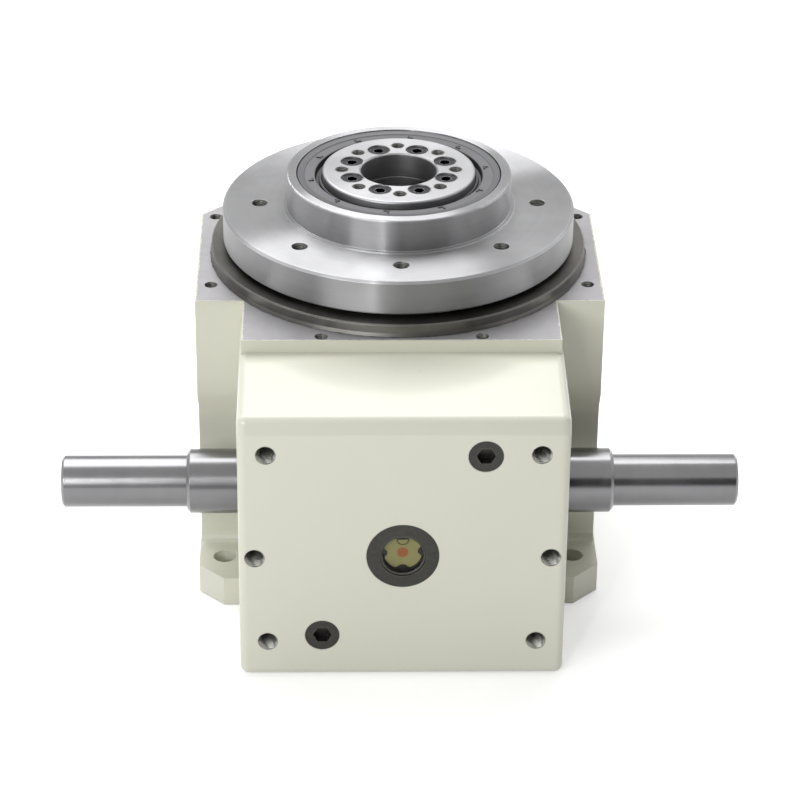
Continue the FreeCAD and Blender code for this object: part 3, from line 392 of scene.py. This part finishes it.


# turned rims get a painted highlight, and each material's "wall" paints shade on its walls where it is below
# 1 and light where it is above 1
turnedFinish = {
    "rim": 0.8, "paintedRimGain": 1.7, "rimRadius": 0.8 * millimetre, "polish": (-0.03, 0.04),
    "stainShare": 0.6, "stainSpan": (0.3, 0.7),
}
aboutTable = {**turnedFinish, "axis": 2, "centre": (0, 0, 0)}
aboutShaft = {**turnedFinish, "axis": 0, "centre": tuple(shaftCentre), "rim": 0.0}
steelGrain = {
    "metallic": 1.0, "grainScale": 400.0, "depth": 0.00003, "wearAndHighlight": 0.5, "edge": (0.75, 0.75, 0.76, 1),
    "edgeRadius": 0.3 * millimetre,
}
materials = {
    "table_steel": turnedSteel("tableSteel", {
        **aboutTable, "dark": (0.27, 0.27, 0.275, 1), "light": (0.43, 0.43, 0.438, 1), "wall": 0.76,
        "roughness": 0.35, "anisotropy": 1.0, "density": 2600.0, "depth": 0.00001, "stainScale": 16.0,
    }),
    "flange_steel": turnedSteel("flangeSteel", {
        **aboutTable, "paintedRimGain": 0.7, "rimRadius": 1.5 * millimetre,
        "dark": (0.28, 0.28, 0.286, 1), "light": (0.39, 0.39, 0.397, 1), "wall": 1.0,
        "roughness": 0.42, "anisotropy": 0.35, "density": 2200.0, "depth": 0.00001, "stainScale": 22.0,
    }),
    "dark_ground_steel": turnedSteel("darkGroundSteel", {
        **aboutTable, "dark": (0.08, 0.078, 0.072, 1), "light": (0.15, 0.147, 0.136, 1), "wall": 1.15,
        "roughness": 0.34, "anisotropy": 0.6, "density": 1800.0, "depth": 0.00002, "stainScale": 25.0,
    }),
    "shaft_steel": turnedSteel("shaftSteel", {
        **aboutShaft, "dark": (0.23, 0.23, 0.235, 1), "light": (0.29, 0.29, 0.295, 1), "wall": 0.78,
        "roughness": 0.24, "anisotropy": 0.4, "density": 2400.0, "depth": 0.00001, "stainScale": 20.0,
    }),
    "bearing_steel": plainSteel("bearingSteel", {
        **steelGrain, "dark": (0.60, 0.61, 0.63, 1), "light": (0.68, 0.69, 0.71, 1), "roughness": 0.14,
    }),
    "cam_steel": plainSteel("camSteel", {
        **steelGrain, "dark": (0.40, 0.40, 0.42, 1), "light": (0.52, 0.52, 0.54, 1), "roughness": 0.3,
    }),
    "spring_steel": plainSteel("springSteel", {
        **steelGrain, "dark": (0.12, 0.12, 0.13, 1), "light": (0.2, 0.2, 0.21, 1), "roughness": 0.35,
    }),
    "post_iron": turnedSteel("postIron", {
        **aboutTable, "rim": 0.0, "dark": (0.27, 0.27, 0.27, 1), "light": (0.36, 0.36, 0.36, 1), "wall": 1.0,
        "roughness": 0.34, "anisotropy": 0.5, "density": 1500.0, "depth": 0.00003, "stainScale": 25.0,
    }),
    # screws coloured very dark as painted shade from their counterbores, with edges lightened as wear and as
    # a painted highlight
    "bright_screws": plainSteel("screwsInPaintedShade", {
        **steelGrain, "dark": (0.014, 0.014, 0.015, 1), "light": (0.038, 0.038, 0.04, 1), "roughness": 0.3,
        "wearAndHighlight": 0.9,
    }),
    # one thread steel in two copies: the lighter one for the front holes is painted light, the darker one for
    # the upright holes is painted shade
    "thread_steel": plainSteel("litThreadSteel", {
        **steelGrain, "dark": (0.25, 0.25, 0.23, 1), "light": (0.42, 0.42, 0.39, 1), "roughness": 0.3,
        "wearAndHighlight": 0.3,
    }),
    "shaded_thread_steel": plainSteel("shadedThreadSteel", {
        **steelGrain, "dark": (0.09, 0.09, 0.085, 1), "light": (0.17, 0.17, 0.16, 1), "roughness": 0.4,
        "wearAndHighlight": 0.3,
    }),
    "black_screws": plainSteel("blackScrews", {
        **steelGrain, "dark": (0.03, 0.03, 0.03, 1), "light": (0.06, 0.06, 0.06, 1), "roughness": 0.4,
        "wearAndHighlight": 0.2,
    }),
    "black_oxide": plainSteel("blackOxide", {
        **steelGrain, "dark": (0.024, 0.024, 0.022, 1), "light": (0.06, 0.058, 0.05, 1), "roughness": 0.34,
        "metallic": 0.7, "wearAndHighlight": 0.6, "edge": (0.4, 0.39, 0.36, 1),
    }),
    "cream_enamel": enamelledCasting("creamEnamel", {
        # the machined faces: the top's outline, the chambers' radius and how ragged the paint's edge is
        "halfWidth": casting[1].x, "shoulder": 0.0705, "padHalfWidth": 0.0962, "padReach": 0.1216,
        "top": casting[1].z, "chamber": 0.1, "raggedness": 0.0022, "raggedScale": 260.0,
        "slack": 0.2 * millimetre, "level": 0.95,
        # the paint
        "paintDark": (0.605, 0.602, 0.508, 1), "paintLight": (0.635, 0.632, 0.538, 1), "cloudScale": 9.0,
        "paintRoughness": 0.36, "coat": 0.3, "coatRoughness": 0.15,
        "peelDepth": 0.00006, "peelScale": 420.0, "peelShare": 0.25, "lumpScale": 45.0,
        # the bare metal
        "metalDark": (0.25, 0.244, 0.252, 1), "metalLight": (0.36, 0.353, 0.364, 1), "metalScale": 70.0,
        "metallic": 0.5, "metalRoughness": 0.5, "millDepth": 0.00002, "millScale": 900.0,
        # specks on both, and chips at the edges
        "speck": (0.05, 0.045, 0.035, 1), "speckScale": 95.0, "speckSize": (0.055, 0.04),
        "chanceScale": 60.0, "speckChance": (0.66, 0.68), "paintSpecks": 0.55, "metalSpecks": 0.8,
        "edgeRadius": 1.0 * millimetre, "chipScale": 55.0, "chipChance": (0.7, 0.72),
    }),
    "seal_rubber": mouldedRubber("sealRubber", {
        "dark": (0.018, 0.018, 0.021, 1), "light": (0.035, 0.035, 0.04, 1), "roughness": 0.42,
        "cloudScale": 30.0, "grainScale": 300.0, "depth": 0.00003,
    }),
    "clear_glass": clearGlass("clearGlass", {
        "tint": (0.94, 0.93, 0.86, 1), "ior": 1.22, "hazeScale": 90.0, "haze": 0.03,
    }),
    "reflector_enamel": satinEnamel("reflectorEnamel", {
        "scale": 60.0, "dark": (0.22, 0.215, 0.08, 1), "light": (0.30, 0.275, 0.12, 1), "roughness": 0.35,
    }),
}
for node, slotName in slotOf.items():
    frame["nodes"][node].material_slots[0].material = materials[slotName]
print("materials made:", len(materials))


# Meshes

def gridQuads(rows, columns, closed):
    # corners of the quads between neighbouring rows and columns; a closed grid joins its last column to its
    # first
    spans = columns if closed else columns - 1
    row, column = np.meshgrid(np.arange(rows - 1), np.arange(spans), indexing="ij")
    after = (column + 1) % columns
    here, above = row * columns, (row + 1) * columns
    return np.stack([here + column, here + after, above + after, above + column], -1).reshape(-1, 4)


def addPiece(name, surface, body, slotName, material=None, sharpAngle=30):
    # the surface (points and quads) as a smooth mesh that rides with the body; it stays sharp at its folds
    points, quads = surface
    mesh = bpy.data.meshes.new(name)
    mesh.vertices.add(len(points))
    mesh.vertices.foreach_set("co", np.asarray(points, np.float32).ravel())
    mesh.loops.add(quads.size)
    mesh.loops.foreach_set("vertex_index", quads.astype(np.int32).ravel())
    mesh.polygons.add(len(quads))
    mesh.polygons.foreach_set("loop_start", np.arange(len(quads), dtype=np.int32) * 4)
    mesh.polygons.foreach_set("loop_total", np.full(len(quads), 4, np.int32))
    mesh.update(calc_edges=True)
    mesh.polygons.foreach_set("use_smooth", np.ones(len(quads), bool))
    mesh.set_sharp_from_angle(angle=math.radians(sharpAngle))
    mesh.materials.append(material or materials[slotName])
    piece = bpy.data.objects.new(name, mesh)
    bpy.context.collection.objects.link(piece)
    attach(piece, body)
    return piece


def repeated(surface, places):
    # the surface under each 4x4 place, as one surface
    points, quads = surface
    moved = [points @ np.array(place.to_3x3()).T + np.array(place.translation) for place in places]
    numbered = [quads + len(points) * i for i in range(len(places))]
    return np.concatenate(moved), np.concatenate(numbered)


def joined(*surfaces):
    # several surfaces as one, with each one's corners numbered after those before it
    counts = np.cumsum([0] + [len(points) for points, quads in surfaces])
    quads = [quads + start for (points, quads), start in zip(surfaces, counts)]
    return np.concatenate([points for points, quads in surfaces]), np.concatenate(quads)


def lathe(profile, segments=192):
    # the profile of (radius, height) points swept round +Z, with the material on the left of its direction
    radius, height = np.array(profile, float).T * millimetre
    angle = np.linspace(0, 2 * math.pi, segments, endpoint=False)
    rise = np.repeat(height[:, None], segments, 1)
    points = np.stack([np.outer(radius, np.cos(angle)), np.outer(radius, np.sin(angle)), rise], -1)
    return points.reshape(-1, 3), gridQuads(len(profile), segments, True)


def block(width, depth, height, centre=(0, 0, 0)):
    # an upright box of six quads, in millimetres
    corners = np.array([(x, y, z) for z in (-0.5, 0.5) for y in (-0.5, 0.5) for x in (-0.5, 0.5)])
    quads = np.array([(0, 2, 3, 1), (4, 5, 7, 6), (0, 1, 5, 4), (2, 6, 7, 3), (0, 4, 6, 2), (1, 3, 7, 5)])
    return (corners * (width, depth, height) + centre) * millimetre, quads


def turnAboutZ(degrees):
    # a turn about the upright axis, as a 4x4 place
    return Matrix.Rotation(math.radians(degrees), 4, "Z")


# Threads in the tapped holes

def threadSurface(radius, pitch, length, form):
    # the wall of a tapped hole that runs down from the origin: a triangular ridge that climbs one pitch a
    # turn, cut back at the mouth by a 45 degree countersink
    rows = int(length / pitch * form["rowsPerTurn"])
    around = np.linspace(0, 2 * math.pi, form["columns"], endpoint=False)
    depth, angle = np.meshgrid(np.linspace(0, length, rows), around, indexing="ij")
    phase = (depth / pitch + angle / (2 * math.pi)) % 1
    mouth = radius - form["clearance"]
    ridge = form["ridge"] * pitch
    wall = np.maximum(mouth - ridge * (1 - np.abs(2 * phase - 1)), mouth - depth)
    points = np.stack([wall * np.cos(angle), wall * np.sin(angle), -depth], -1).reshape(-1, 3)
    return points * millimetre, gridQuads(rows, form["columns"], True)


def circlePlaces(mount, firstAngle):
    # holes at even angles round the pattern's centre, at half its pitch circle, facing up
    centre = Matrix.Translation(mount["pos_m"])
    out = Matrix.Translation((mount["dims"]["pcd_mm"] / 2 * millimetre, 0, 0))
    count = mount["dims"]["count"]
    return [centre @ turnAboutZ(firstAngle + 360 / count * i) @ out for i in range(count)]


def frontPlaces(mount):
    # holes at the ends of the pattern's spacings, facing the front
    across = mount["dims"]["spacing_x_mm"] / 2 * millimetre
    up = mount["dims"].get("spacing_y_mm", 0) / 2 * millimetre
    facing = Matrix.Rotation(math.radians(90), 4, "X")
    corners = sorted({(x, z) for x in (-across, across) for z in (-up, up)})
    return [Matrix.Translation(Vector(mount["pos_m"]) + Vector((x, 0, z))) @ facing for x, z in corners]


threadForm = {"ridge": 0.54, "clearance": 0.03, "columns": 28, "rowsPerTurn": 6}
# the upright holes take the copy of the thread steel in painted shade, the front holes the copy in painted
# light
threads = {
    "dial_bolts": {
        "pitch": 1.5, "length": 21.5, "turn": 0,
        "body": "output", "slot": "table_steel", "metal": "shaded_thread_steel",
    },
    "centre_bolts": {
        "pitch": 1.25, "length": 15.5, "turn": 0,
        "body": "housing", "slot": "flange_steel", "metal": "shaded_thread_steel",
    },
    "housing_top_bolts": {
        "pitch": 1.25, "length": 17.5, "turn": 22.5,
        "body": "housing", "slot": "cream_enamel", "metal": "shaded_thread_steel",
    },
    "front_bolts": {
        "pitch": 1.75, "length": 23.5,
        "body": "housing", "slot": "cream_enamel", "metal": "thread_steel",
    },
    "front_side_bolts": {
        "pitch": 1.75, "length": 23.5,
        "body": "housing", "slot": "cream_enamel", "metal": "thread_steel",
    },
}
for name, values in threads.items():
    mount = mountOf[name]
    places = circlePlaces(mount, values["turn"]) if "turn" in values else frontPlaces(mount)
    wall = threadSurface(mount["dims"]["hole_r_mm"], values["pitch"], values["length"], threadForm)
    material = materials[values["metal"]]
    addPiece(name + "_threads", repeated(wall, places), values["body"], values["slot"], material, 50)
print("threads cut:", len(threads))


# Hub seal, in place of its plain solid

def makeHubSeal(values):
    # a profile of steps and slopes turned round the axis, between the flange and the hub's bore, with small
    # moulded nubs of two bars each on its widest band
    top, low = hubSeal[1].z / millimetre, hubSeal[0].z / millimetre
    profile = [(radius, top - depth) for radius, depth in values["steps"]]
    inner, outer = values["steps"][-1][0], values["steps"][0][0]
    ring = lathe([(outer, low), *profile, (inner, low), (outer, low)])
    piece = addPiece("hubSealRing", ring, "output", "seal_rubber", materials["seal_band"])
    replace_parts(piece, "hub_seal")

    width, depth, height = values["nubWidth"], values["nubDepth"], values["nubHeight"]
    radius, level = values["nubRadius"], top + height / 2
    foot = values["nubFoot"] * width
    nub = joined(
        block(depth, width, height, (radius, 0, level)),
        block(foot, depth, height, (radius + foot / 2, (width - depth) / 2, level)),
    )
    turns = np.arange(values["nubCount"]) * 360 / values["nubCount"] + values["nubTurn"]
    addPiece("hubSealNubs", repeated(nub, [turnAboutZ(turn) for turn in turns]), "output", "seal_rubber")


# the black is painted shade for the seal's groove
materials["seal_band"] = sealRubber("sealBand", {
    "dark": (0.062, 0.062, 0.07, 1), "light": (0.125, 0.125, 0.137, 1), "black": (0.01, 0.01, 0.012, 1),
    "slope": 0.0588, "groove": 0.0521, "roughness": 0.38,
    "cloudScale": 45.0, "grainScale": 500.0, "depth": 0.00002,
})
makeHubSeal({
    "steps": (
        (63.9, 0.4), (63.4, -0.6), (63.0, -1.0), (62.6, -1.0), (59.0, -0.4), (58.7, 0.0), (52.8, 0.0),
        (52.3, 0.4), (52.0, 1.6), (51.4, 3.6), (50.0, 3.8), (49.6, 2.6), (48.4, 2.4), (48.0, 2.9),
    ),
    "nubCount": 10,
    "nubTurn": 9,
    "nubRadius": 54.2,
    "nubWidth": 3.6,
    "nubDepth": 1.1,
    "nubHeight": 0.5,
    "nubFoot": 0.8,
})


# Sealant squeezed out under the retainer ring

def makeSealant(values):
    # a quarter round bead carried round the ring, whose size wanders by a sum of waves round the circle
    angle = np.linspace(0, 2 * math.pi, values["steps"])
    wander = sum(np.sin(angle * count + count**2) for count in values["waves"]) / len(values["waves"])
    size = values["size"] * np.clip(values["mean"] + values["spread"] * wander, *values["limits"])
    around = np.linspace(0, math.pi / 2, values["sides"])
    radius = values["ringRadius"] + np.outer(size, np.cos(around))
    height = values["level"] + np.outer(size, np.sin(around)) * values["flatness"]
    points = np.stack([radius * np.cos(angle)[:, None], radius * np.sin(angle)[:, None], height], -1)
    quads = gridQuads(values["steps"], values["sides"], False)
    addPiece("ringSealant", (points.reshape(-1, 3) * millimetre, quads), "housing", "seal_rubber")


makeSealant({
    "ringRadius": retainer[1].x / millimetre - 0.15,
    "level": retainer[0].z / millimetre,
    "size": 0.42,
    "mean": 0.75,
    "spread": 1.2,
    "limits": (0.12, 1.8),
    "flatness": 0.8,
    "steps": 1440,
    "sides": 5,
    "waves": (5, 11, 23, 41, 67, 113),
})


# Sight glass reflector, in place of its plain disc

def makeReflector(values):
    # flat sheets before one another: a disc whose rim is cut back by rounded notches, a spot in its middle, a
    # black tab over a half ring and a black backing, which is painted shade for the dark recess round the
    # disc, with a turned ring round the glass before them
    angle = np.linspace(0, 2 * math.pi, values["steps"], endpoint=False)
    edge = np.full(values["steps"], float(values["radius"]))
    for degrees, width, depth in values["notches"]:
        away = (angle - math.radians(degrees) + math.pi) % (2 * math.pi) - math.pi
        edge -= depth * np.exp(-((away * values["radius"] / width * 2) ** 4))
    shares = np.linspace(0.02, 1, values["rings"])
    across, up = np.outer(shares, np.cos(angle)), np.outer(shares, np.sin(angle))
    centre = sightCentre / millimetre
    front = reflector[0].y / millimetre
    lifts = values["lifts"]
    black = materials["sight_black"]

    def addFlat(name, horizontal, vertical, lift, material, replaced=()):
        # a sheet that faces the front, "lift" before the plain disc's face
        depth = np.full(horizontal.shape, front - lift)
        points = np.stack([centre.x + horizontal, depth, centre.z + vertical], -1).reshape(-1, 3) * millimetre
        quads = gridQuads(*horizontal.shape, horizontal.shape[1] == values["steps"])
        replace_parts(addPiece(name, (points, quads), "housing", "reflector_enamel", material), *replaced)

    spot, back = values["spotRadius"], values["backRadius"]
    addFlat("sightReflector", across * edge, up * edge, lifts["disc"], materials["reflector_enamel"])
    addFlat("sightSpot", across * spot, up * spot, lifts["spot"], materials["spot_enamel"])
    # painted shade: a black sheet behind the disc for the dark recess round it and in its notches
    addFlat("sightShadeBacking", across * back, up * back, lifts["backing"], black, ["sight_glass_reflector"])
    half = np.linspace(math.pi, 2 * math.pi, values["arcSteps"])
    arc = np.array([values["arcRadius"] - values["arcWidth"], values["arcRadius"]])
    level = values["tabLevel"]
    addFlat("sightArc", np.outer(arc, np.cos(half)), np.outer(arc, np.sin(half)) + level, lifts["arc"], black)
    size = values["tabWidth"], values["tabThickness"], values["tabHeight"]
    middle = centre.x, front - lifts["tab"], centre.z + level + values["tabHeight"] / 2
    addPiece("sightTab", block(*size, middle), "housing", "reflector_enamel", black)
    points, quads = lathe(values["ring"])
    facing = np.array(Matrix.Rotation(math.radians(90), 3, "X")).T
    place = np.array([centre.x, front - values["glass"], centre.z]) * millimetre
    ring = points @ facing + place, quads
    addPiece("sightRing", ring, "housing", "reflector_enamel", materials["black_oxide"])


materials["spot_enamel"] = satinEnamel("spotEnamel", {
    "scale": 80.0, "dark": (0.26, 0.07, 0.02, 1), "light": (0.33, 0.10, 0.03, 1), "roughness": 0.4,
})
# black for the printed tab and half ring, and painted shade on the backing
materials["sight_black"] = satinEnamel("sightBlack", {
    "scale": 60.0, "dark": (0.006, 0.006, 0.005, 1), "light": (0.014, 0.014, 0.012, 1), "roughness": 0.5,
})
makeReflector({
    "radius": 11.4,
    "backRadius": 13.9,
    "lifts": {"backing": -0.8, "disc": -0.5, "spot": -0.45, "arc": -0.4, "tab": -0.35},
    "rings": 6,
    "steps": 180,
    "notches": ((4, 5.4, 2.4), (182, 5.0, 2.2), (270, 7.0, 3.0)),
    "spotRadius": 3.3,
    "tabWidth": 7.6,
    "tabHeight": 4.2,
    "tabThickness": 0.2,
    "tabLevel": 8.9,
    "arcRadius": 3.8,
    "arcWidth": 0.6,
    "arcSteps": 40,
    "glass": 3.0,
    "ring": ((12.3, 0), (12.3, 0.7), (12.7, 1.1), (13.5, 1.1), (13.9, 0.7), (13.9, 0)),
})
print("pieces added")


# Floor, light and camera

def raySeen(tree):
    # 1 for a ray that sees the background, straight, in a mirror or through glass; 0 for one that lights
    rays = addNode(tree, "LightPath").outputs
    seen = calculate(tree, "ADD", rays["Is Camera Ray"], rays["Is Glossy Ray"])
    return calculate(tree, "MINIMUM", calculate(tree, "ADD", seen, rays["Is Transmission Ray"]), 1.0)


def addSheet(name, materialName, corners, values):
    # a matt four-cornered sheet on the stage; returns what more its material needs
    mesh = bpy.data.meshes.new(name)
    mesh.from_pydata(np.array(corners, float).tolist(), [], [(0, 1, 2, 3)])
    sheet = bpy.data.objects.new(name, mesh)
    bpy.context.collection.objects.link(sheet)
    material, tree, shader, place = newMaterial(materialName)
    connect(tree, shader, {
        "Base Color": mixed(tree, noise(tree, place, values["grainScale"]), values["dark"], values["light"]),
        "Roughness": 0.9,
        "Specular IOR Level": 0.1,
    })
    mesh.materials.append(material)
    return tree, shader, place


def makeFloor(values):
    # pale paper. The glow that only a seeing ray meets brings it up to white, more so far from the object,
    # and the shadow stays in it.
    size, level = values["size"], values["level"]
    corners = [(-size, -size, level), (size, -size, level), (size, size, level), (-size, size, level)]
    tree, shader, place = addSheet("floor", "floorPaper", corners, values)
    distance = addNode(tree, "VectorMath", {0: place}, operation="LENGTH").outputs["Value"]
    far = calculate(tree, "MULTIPLY", rampBetween(tree, distance, *values["farSpan"]), values["farGlow"])
    glow = calculate(tree, "ADD", far, values["glow"])
    connect(tree, shader, {
        "Emission Color": (1, 1, 1, 1),
        "Emission Strength": calculate(tree, "MULTIPLY", raySeen(tree), glow),
    })


def makeFlag(values):
    # a dark card behind the camera, upright and square to the object, that darkens the metal's reflections
    azimuth = math.radians(values["azimuth"])
    away = np.array([math.sin(azimuth), -math.cos(azimuth), 0]) * values["distance"]
    side = np.array([math.cos(azimuth), math.sin(azimuth), 0]) * values["width"] / 2
    low, high = np.array([0, 0, values["low"]]), np.array([0, 0, values["high"]])
    corners = [away - side + low, away + side + low, away + side + high, away - side + high]
    addSheet("flag", "flagCloth", corners, values)


def makeWorld(fill):
    # white where it is seen, an even grey fill elsewhere
    world = bpy.data.worlds.new("studio")
    bpy.context.scene.world = world
    world.use_nodes = True
    tree = world.node_tree
    strength = between(tree, raySeen(tree), fill, 1.0)
    connect(tree, tree.nodes["Background"], {"Strength": strength, "Color": (1, 1, 1, 1)})


def addLamp(name, values):
    # a soft rectangular lamp aimed at the object from an azimuth (0 in front, 90 at its right) and an
    # elevation; its power is the radiance times pi times its area
    width, height = values["size"]
    azimuth, elevation = math.radians(values["azimuth"]), math.radians(values["elevation"])
    level = math.cos(elevation)
    away = Vector((math.sin(azimuth) * level, -math.cos(azimuth) * level, math.sin(elevation)))
    data = bpy.data.lights.new(name, "AREA")
    data.shape = "RECTANGLE"
    data.size, data.size_y = width, height
    data.energy = values["radiance"] * math.pi * width * height
    lamp = bpy.data.objects.new(name, data)
    lamp.location = Vector(lampAim) + away * values["distance"]
    lamp.rotation_mode = "QUATERNION"
    lamp.rotation_quaternion = away.to_track_quat("Z", "Y")
    bpy.context.collection.objects.link(lamp)


def makeCamera(values):
    data = bpy.data.cameras.new("camera")
    data.lens = values["lens"]
    data.clip_start, data.clip_end = 0.05, 20
    camera = bpy.data.objects.new("camera", data)
    forward = Vector(values["forward"]).normalized()
    right = Vector(values["right"]).normalized()
    turned = Matrix((right, right.cross(forward), -forward)).transposed()
    camera.matrix_world = Matrix.Translation(values["place"]) @ turned.to_4x4()
    bpy.context.collection.objects.link(camera)
    bpy.context.scene.camera = camera


lampAim = (0, 0, 0.15)
lamps = {
    "overhead": {"azimuth": -157, "elevation": 61, "distance": 1.7, "size": (1.6, 1.25), "radiance": 4.4},
    "key": {"azimuth": -34, "elevation": 22, "distance": 1.9, "size": (0.9, 0.5), "radiance": 7.6},
    "strip": {"azimuth": -16.5, "elevation": 26, "distance": 1.9, "size": (0.03, 0.8), "radiance": 60.0},
    "backRight": {"azimuth": 135, "elevation": 35, "distance": 1.9, "size": (1.0, 1.0), "radiance": 1.4},
}
makeFloor({
    "size": 6.0, "level": -0.0005, "glow": 0.36, "farGlow": 0.4, "farSpan": (0.7, 2.2),
    "dark": (0.88, 0.88, 0.88, 1), "light": (0.92, 0.92, 0.92, 1), "grainScale": 40.0,
})
makeFlag({
    "azimuth": 24, "distance": 3.2, "width": 3.4, "low": 0.35, "high": 2.4,
    "dark": (0.07, 0.07, 0.07, 1), "light": (0.10, 0.10, 0.10, 1), "grainScale": 30.0,
})
makeWorld(0.46)
for name, values in lamps.items():
    addLamp(name, values)
makeCamera({
    "place": (-0.041974, -1.743569, 1.056570),
    "right": (0.9997529, -0.0203099, 0.0090355),
    "forward": (0.0221372, 0.8727435, -0.4876768),
    "lens": 138.48,
})
bpy.context.scene.view_settings.view_transform = "Standard"
print("stage set")
